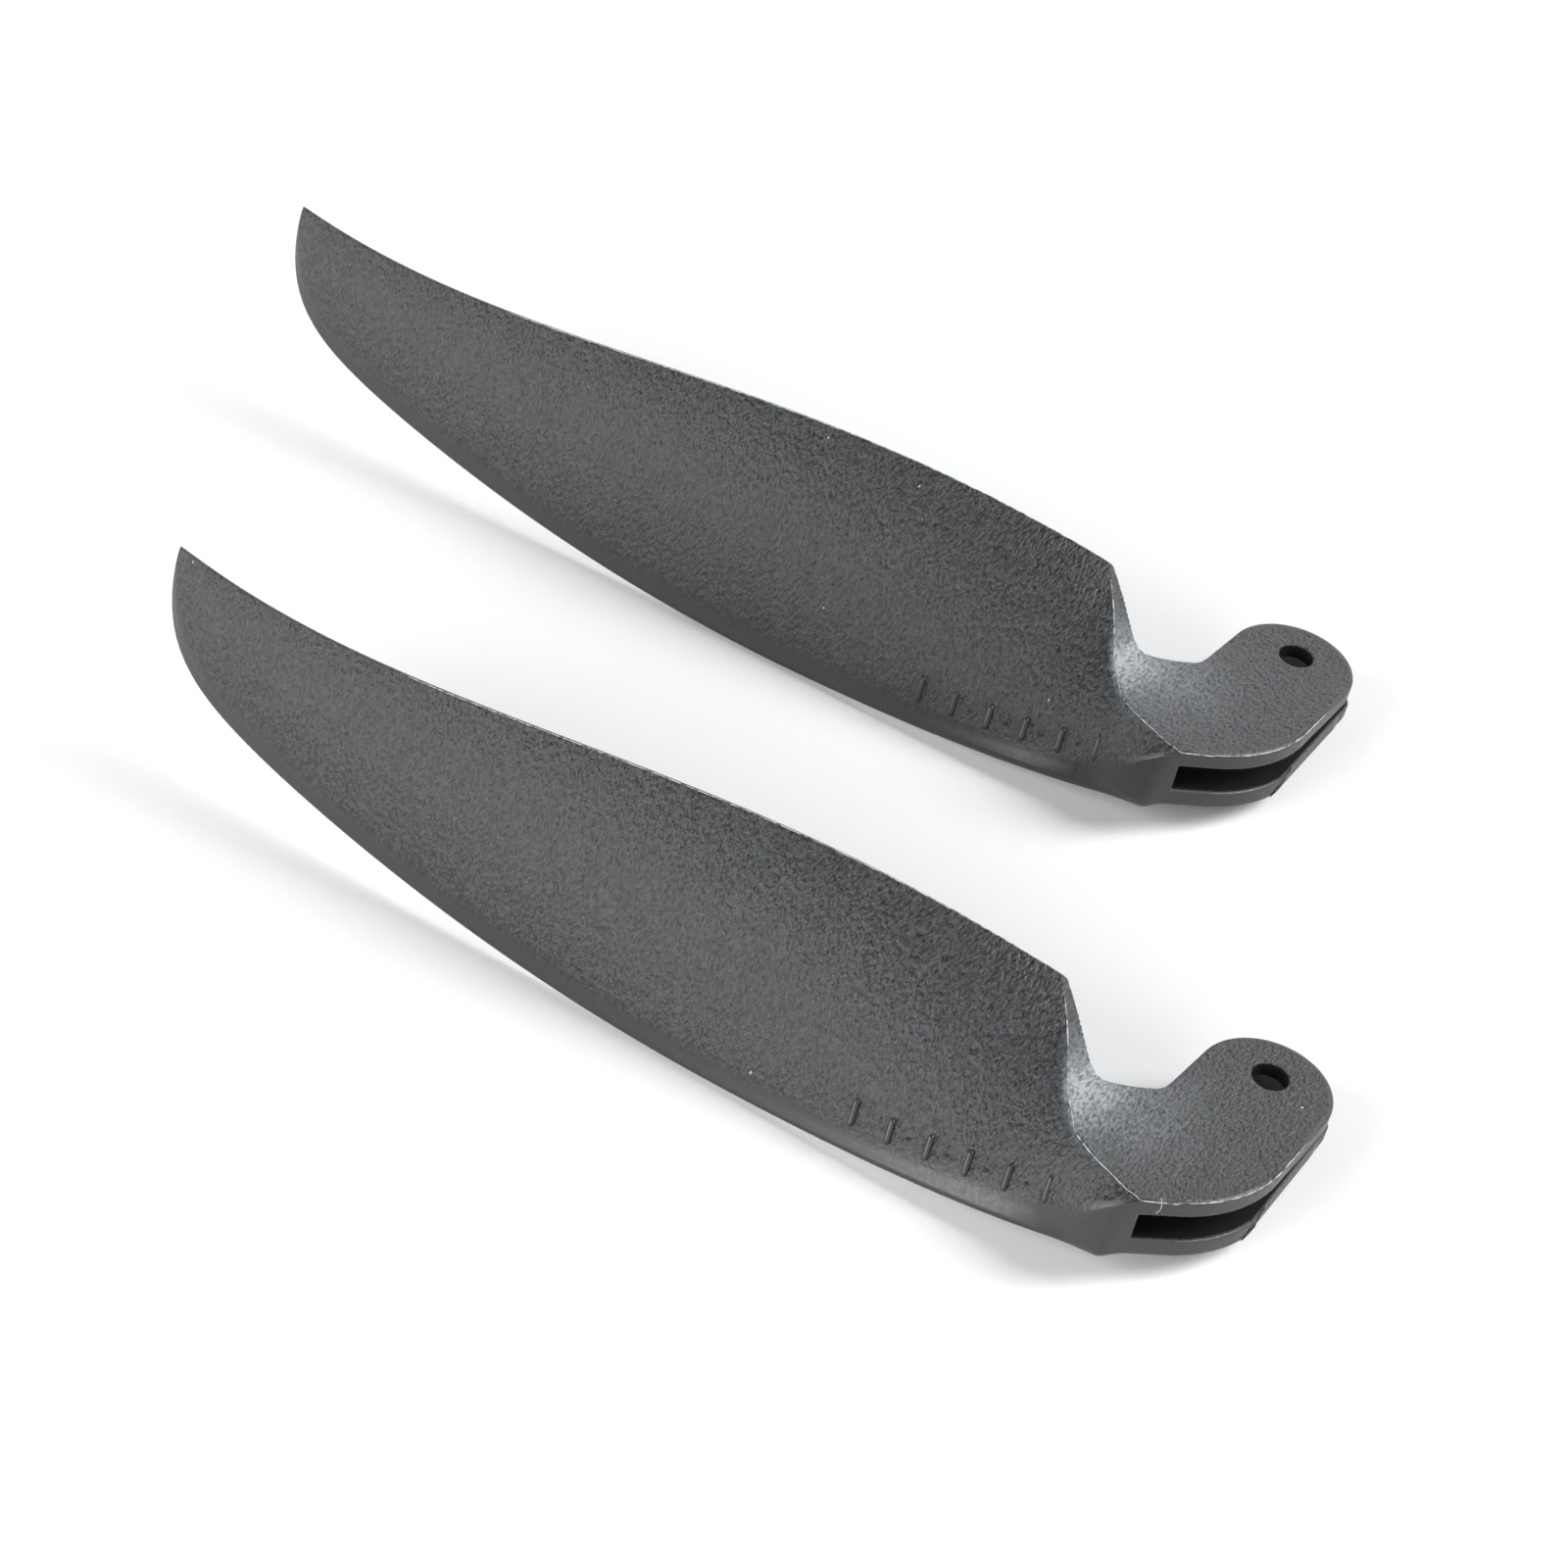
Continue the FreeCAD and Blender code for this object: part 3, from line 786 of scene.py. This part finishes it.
def crossing(field, inside, outside):
    """Where each value of a field changes sign, between a place inside and one outside."""
    for _ in range(36):
        middle = (inside + outside) / 2.0
        within = field(middle) < 0.0
        inside, outside = np.where(within, middle, inside), np.where(within, outside, middle)
    return outside


def crease_path():
    """The line where the scooped top meets the front face, from the shoulder round the fork's rim."""
    r = np.linspace(SHOULDER - 0.5, CREASE_START[0], 110)
    h = crossing(lambda v: scoop_field(r, v), -3.0, 6.0)
    s = crossing(lambda v: skin_fields(r, v, h)[0], 7.5, 24.0)
    upper = np.stack([r, s, h], axis=1)
    rim_s = CREASE_START[1] - 0.25 - RIM_LINE_LENGTH * np.linspace(0.0, 1.0, 90) ** 1.5
    rim_r = crossing(lambda v: plan_field(v, rim_s), -1.0, -8.0)
    rim = np.stack([rim_r, rim_s, np.full_like(rim_s, LIP_HEIGHT / 2.0)], axis=1)
    return np.concatenate([upper, rim[rim_r < CREASE_START[0] - 0.3]])


def ragged_line(path, least, most):
    """A thin line of flash along a path, between two radii, tapering out at both ends."""
    step = np.linalg.norm(np.diff(path, axis=0), axis=1)
    place = np.concatenate([[0.0], np.cumsum(step)])
    even = np.arange(0.0, place[-1], FLASH_STEP)
    path = np.stack([np.interp(even, place, path[:, a]) for a in range(3)], axis=1)
    draw = np.random.default_rng(7)
    path += draw.normal(0.0, 0.3 * least, path.shape)
    # The line swells and thins at random along its length.
    swell = np.convolve(draw.random(len(path) + 4), np.ones(5) / 5.0, "valid")
    radii = least + (most - least) * np.clip(swell * 2.2 - 0.6, 0.0, 1.0)
    ends = np.minimum(1.0, np.minimum(even, even[-1] - even) / FLASH_TAPER)
    return rod(path, radii * ends + 0.004)


def edge_line():
    """The trailing edge's front corner, where the mould's parting line runs."""
    r = np.linspace(EDGE_LINE_END, SHOULDER, 160)
    s, h = from_section(r, 0.03, EDGE_THICKNESS * slimming_at(r) / 2.0 + 0.01)
    return np.stack([r, s, h], axis=1)


def burr():
    """Torn flash standing on the lower ear's corner."""
    top = -UPPER_EAR - SLOT_HEIGHT
    path = [(-5.5, 9.6, top + 0.5), (-5.62, 9.9, top + 0.1), (-5.58, 10.5, top - 0.3),
            (-5.66, 11.3, top - 0.9), (-5.5, 12.1, top - 1.3), (-5.42, 12.8, top - 1.6)]
    return rod(path, (0.03, 0.1, 0.06, 0.09, 0.12, 0.03))


def face_point(r, gap, lift):
    """A point of the front face, gap back from the leading edge along the chord, and lift over it."""
    shape = section_at(np.array(r))
    x = chord_at(np.array(r)) - gap
    front_x, front_y = shape["front"]
    y = front_y + np.sqrt(shape["front_radius"] ** 2 - (x - front_x) ** 2) + lift
    s, h = from_section(np.array(r), x, y)
    return float(r), float(s), float(h)


def raised_strokes():
    """A plain row of raised strokes and dots in turn, beside the leading edge."""
    strokes = [(STROKE_OUTER, OUTER_STROKE)]
    for number in range(STROKE_COUNT):
        strokes.append((STROKE_ROW - STROKE_GAP * number, DOT if number % 2 else LONG_STROKE))
    shares = np.linspace(0.0, 1.0, 12)
    parts = []
    for r, (start_gap, end_gap, lean) in strokes:
        path = [face_point(r - lean * t, start_gap + (end_gap - start_gap) * t, STROKE_LIFT)
                for t in shares]
        length = math.hypot(lean, end_gap - start_gap)
        ends = np.minimum(shares, 1.0 - shares) * length / STROKE_SIZE
        radii = STROKE_SIZE * np.sqrt(np.maximum(1.0 - (1.0 - np.minimum(ends, 1.0)) ** 2, 0.02))
        parts.append(rod(path, radii))
    return joined(parts)


def stray_fibre():
    """A pale fibre caught on the crease."""
    path = [(0.4, 19.55, 0.16), (0.25, 19.8, 0.16), (0.0, 20.1, 0.0), (-0.05, 20.2, -0.4),
            (0.2, 20.3, -0.9)]
    steps = np.linspace(0.0, 4.0, 25)
    smooth = np.stack([np.interp(steps, range(5), [p[a] for p in path]) for a in range(3)], axis=1)
    for _ in range(6):
        smooth[1:-1] = (smooth[:-2] + 2.0 * smooth[1:-1] + smooth[2:]) / 4.0
    return rod(smooth, np.linspace(0.028, 0.02, 25), sides=6)


# ---------------------------------------------------------------- materials

class Nodes:
    """A material's node tree, with short ways to add and join nodes."""

    def __init__(self, title):
        self.material = bpy.data.materials.new(title)
        self.material.use_nodes = True
        self.tree = self.material.node_tree
        self.shader = self.tree.nodes["Principled BSDF"]

    def put(self, socket, value):
        """Joins a socket to another node's, or sets its value."""
        if isinstance(value, bpy.types.NodeSocket):
            self.tree.links.new(value, socket)
        else:
            socket.default_value = value

    def attribute(self, title, output="Fac"):
        node = self.tree.nodes.new("ShaderNodeAttribute")
        node.attribute_name = title
        return node.outputs[output]

    def noise(self, vector, scale, detail=2.0, roughness=0.5):
        node = self.tree.nodes.new("ShaderNodeTexNoise")
        self.put(node.inputs["Vector"], vector)
        node.inputs["Scale"].default_value = scale
        node.inputs["Detail"].default_value = detail
        node.inputs["Roughness"].default_value = roughness
        return node.outputs["Fac"]

    def spots(self, vector, scale):
        node = self.tree.nodes.new("ShaderNodeTexVoronoi")
        self.put(node.inputs["Vector"], vector)
        node.inputs["Scale"].default_value = scale
        return node.outputs["Distance"]

    def math(self, operation, first, second=0.0):
        node = self.tree.nodes.new("ShaderNodeMath")
        node.operation = operation
        self.put(node.inputs[0], first)
        self.put(node.inputs[1], second)
        return node.outputs[0]

    def span(self, value, from_low, from_high, to_low, to_high):
        """A value stretched from one span to another."""
        node = self.tree.nodes.new("ShaderNodeMapRange")
        self.put(node.inputs["Value"], value)
        for title, number in (("From Min", from_low), ("From Max", from_high),
                              ("To Min", to_low), ("To Max", to_high)):
            node.inputs[title].default_value = number
        return node.outputs["Result"]

    def mix(self, share, first, second):
        node = self.tree.nodes.new("ShaderNodeMix")
        node.data_type = "RGBA"
        self.put(node.inputs["Factor"], share)
        self.put(node.inputs["A"], first)
        self.put(node.inputs["B"], second)
        return node.outputs["Result"]

    def bump(self, height, distance):
        node = self.tree.nodes.new("ShaderNodeBump")
        node.inputs["Distance"].default_value = distance
        self.put(node.inputs["Height"], height)
        self.tree.links.new(node.outputs["Normal"], self.shader.inputs["Normal"])


def nylon_material():
    """Matt black glass-filled nylon: leathery grain, cloudy dust, pale specks, painted shade inside the
    slot and the pin hole.
    """
    nodes = Nodes("black_nylon")
    place = nodes.attribute("moulded", "Vector")
    grained = nodes.attribute("grain")
    inside = nodes.attribute("inside")
    fine = nodes.noise(place, GRAIN_SCALE, 3.0, 0.55)
    speckle = nodes.noise(place, SPECKLE_SCALE, 1.0)
    cloud = nodes.noise(place, CLOUD_SCALE, 4.0, 0.6)

    lightness = nodes.math("MULTIPLY", nodes.span(fine, 0.36, 0.64, *GRAIN_CONTRAST),
                           nodes.span(speckle, 0.3, 0.7, *SPECKLE_CONTRAST))
    lightness = nodes.math("MULTIPLY", lightness, nodes.span(cloud, 0.3, 0.7, *CLOUD_CONTRAST))
    change = nodes.math("MULTIPLY", nodes.math("SUBTRACT", lightness, 1.0), grained)
    half_lightness = nodes.span(nodes.math("ADD", change, 1.0), 0.0, 2.0, 0.0, 1.0)
    plain = nodes.mix(half_lightness, BLACK, NYLON_TWICE)

    dust = nodes.math("MULTIPLY", nodes.attribute("dust"),
                      nodes.span(cloud, 0.3, 0.7, *DUST_CLOUD_CONTRAST))
    dust = nodes.math("MULTIPLY", dust, nodes.span(fine, 0.35, 0.65, *DUST_GRAIN_CONTRAST))
    dusty = nodes.mix(dust, plain, DUST_COLOUR)
    speck = nodes.math("LESS_THAN", nodes.spots(place, SPECK_SCALE), SPECK_SIZE)
    specked = nodes.mix(nodes.math("MULTIPLY", speck, SPECK_STRENGTH), dusty, SPECK_COLOUR)
    # Painted shade: the slot's and the pin hole's walls are mixed towards near black.
    nodes.put(nodes.shader.inputs["Base Color"], nodes.mix(inside, specked, PAINTED_SHADE_BLACK))

    rough = nodes.span(nodes.math("ADD", fine, inside), 0.3, 1.5, *NYLON_ROUGHNESS)
    nodes.put(nodes.shader.inputs["Roughness"], rough)
    nodes.bump(nodes.math("MULTIPLY", fine, grained), GRAIN_HEIGHT * MM)
    return nodes.material


def painted_shade_material():
    """Painted shade for the slot's and the pin hole's walls: the same nylon near black, where hardly any
    light gets in, its skin dull.
    """
    nodes = Nodes("slot_painted_shade")
    tint = nodes.noise(nodes.attribute("moulded", "Vector"), 3.0)
    nodes.put(nodes.shader.inputs["Base Color"], nodes.mix(tint, SLOT_PAINTED_SHADE_DARKEST, SLOT_PAINTED_SHADE_BLACK))
    nodes.shader.inputs["Roughness"].default_value = SLOT_ROUGHNESS
    nodes.shader.inputs["Specular IOR Level"].default_value = SLOT_GLOSS
    return nodes.material


def flash_material():
    """Worn edge of the parting line: pale where it is rubbed, black where it isn't."""
    nodes = Nodes("worn_flash")
    patch = nodes.noise(nodes.attribute("moulded", "Vector"), 2.2, 3.0, 0.7)
    worn = nodes.span(patch, 0.38, 0.56, 0.0, 1.0)
    nodes.put(nodes.shader.inputs["Base Color"], nodes.mix(worn, FLASH_BLACK, WORN_GREY))
    nodes.put(nodes.shader.inputs["Roughness"], nodes.span(patch, 0.3, 0.7, *FLASH_ROUGHNESS))
    return nodes.material


def fibre_material():
    """A pale textile fibre."""
    nodes = Nodes("pale_fibre")
    tint = nodes.noise(nodes.attribute("moulded", "Vector"), 4.0)
    nodes.put(nodes.shader.inputs["Base Color"], nodes.mix(tint, FIBRE_DARK, FIBRE_PALE))
    nodes.shader.inputs["Roughness"].default_value = FIBRE_ROUGHNESS
    return nodes.material


# ---------------------------------------------------------------- stage

def make_camera(pin_top):
    """The camera, placed from the top of the front blade's pin hole."""
    azimuth, elevation = math.radians(CAMERA_AZIMUTH), math.radians(CAMERA_ELEVATION)
    back = Vector((math.sin(azimuth) * math.cos(elevation),
                   -math.cos(azimuth) * math.cos(elevation), math.sin(elevation)))
    data = bpy.data.cameras.new("camera")
    data.lens = LENS
    data.sensor_width = SENSOR_WIDTH
    data.clip_start = 0.01
    data.clip_end = 10.0
    camera = bpy.data.objects.new("camera", data)
    camera.location = pin_top + CAMERA_FROM_PIN
    camera.rotation_mode = "QUATERNION"
    camera.rotation_quaternion = (-back).to_track_quat("-Z", "Y")
    bpy.context.scene.collection.objects.link(camera)
    bpy.context.scene.camera = camera


def make_floor():
    """The white surface that the blades lie on."""
    mesh = bpy.data.meshes.new("floor")
    corners = [(FLOOR_HALF * x, FLOOR_HALF * y, 0.0) for x, y in ((-1, -1), (1, -1), (1, 1), (-1, 1))]
    mesh.from_pydata(corners, [], [(0, 1, 2, 3)])
    material = bpy.data.materials.new("floor")
    material.use_nodes = True
    shader = material.node_tree.nodes["Principled BSDF"]
    shader.inputs["Base Color"].default_value = FLOOR_WHITE
    shader.inputs["Roughness"].default_value = FLOOR_ROUGHNESS
    mesh.materials.append(material)
    floor = bpy.data.objects.new("floor", mesh)
    bpy.context.scene.collection.objects.link(floor)


def area_light(name, place, size, power):
    """A round soft light that faces the origin."""
    data = bpy.data.lights.new(name, "AREA")
    data.shape = "DISK"
    data.size = size
    data.energy = power
    light = bpy.data.objects.new(name, data)
    light.location = place
    light.rotation_mode = "QUATERNION"
    light.rotation_quaternion = (-Vector(place)).to_track_quat("-Z", "Y")
    bpy.context.scene.collection.objects.link(light)


def make_light():
    """A room bright low down and dim overhead, a soft light to the camera's right and one to its left."""
    world = bpy.data.worlds.new("studio")
    world.use_nodes = True
    tree = world.node_tree
    place = tree.nodes.new("ShaderNodeTexCoord")
    split = tree.nodes.new("ShaderNodeSeparateXYZ")
    ramp = tree.nodes.new("ShaderNodeMapRange")
    ramp.inputs["From Min"].default_value = HORIZON_TOP
    ramp.inputs["From Max"].default_value = OVERHEAD_START
    ramp.inputs["To Min"].default_value = HORIZON_LIGHT
    ramp.inputs["To Max"].default_value = OVERHEAD_LIGHT
    sky = tree.nodes["Background"]
    sky.inputs["Color"].default_value = ROOM_TINT
    tree.links.new(place.outputs["Generated"], split.inputs["Vector"])
    tree.links.new(split.outputs["Z"], ramp.inputs["Value"])
    tree.links.new(ramp.outputs["Result"], sky.inputs["Strength"])
    bpy.context.scene.world = world
    area_light("side", **SIDE_LIGHT)
    area_light("window", **WINDOW_LIGHT)
    bpy.context.scene.view_settings.view_transform = "Standard"


# ---------------------------------------------------------------- build

nylon = nylon_material()
# the near-black material of painted shade for the slot and the pin hole
painted_shade = painted_shade_material()
flash = flash_material()
blade_points, blade_faces = blade_parts()
blade_marks = surface_marks(blade_points)
for blade in ("front_blade", "rear_blade"):
    place = blade_place(blade)
    moulding = solid(blade + "_moulding", blade_points, blade_faces, place, blade, nylon, blade_marks,
                     painted_shade)
    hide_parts(blade)
    strokes, stroke_faces = raised_strokes()
    smooth = {"grain": np.zeros(len(strokes))}
    solid(blade + "_raised_strokes", strokes, stroke_faces, place, blade, nylon, smooth)
    lines = [ragged_line(crease_path(), FLASH_THIN, FLASH_THICK),
             ragged_line(edge_line(), EDGE_LINE_THIN, EDGE_LINE_THICK)]
    solid(blade + "_parting_flash", *joined(lines), place, blade, flash)
    torn, torn_faces = burr()
    rough = {"grain": np.full(len(torn), 0.5)}
    solid(blade + "_burr", torn, torn_faces, place, blade, nylon, rough)
solid("front_blade_stray_fibre", *stray_fibre(), blade_place("front_blade"), "front_blade",
      fibre_material())

make_camera(blade_place("front_blade").translation)
make_floor()
make_light()
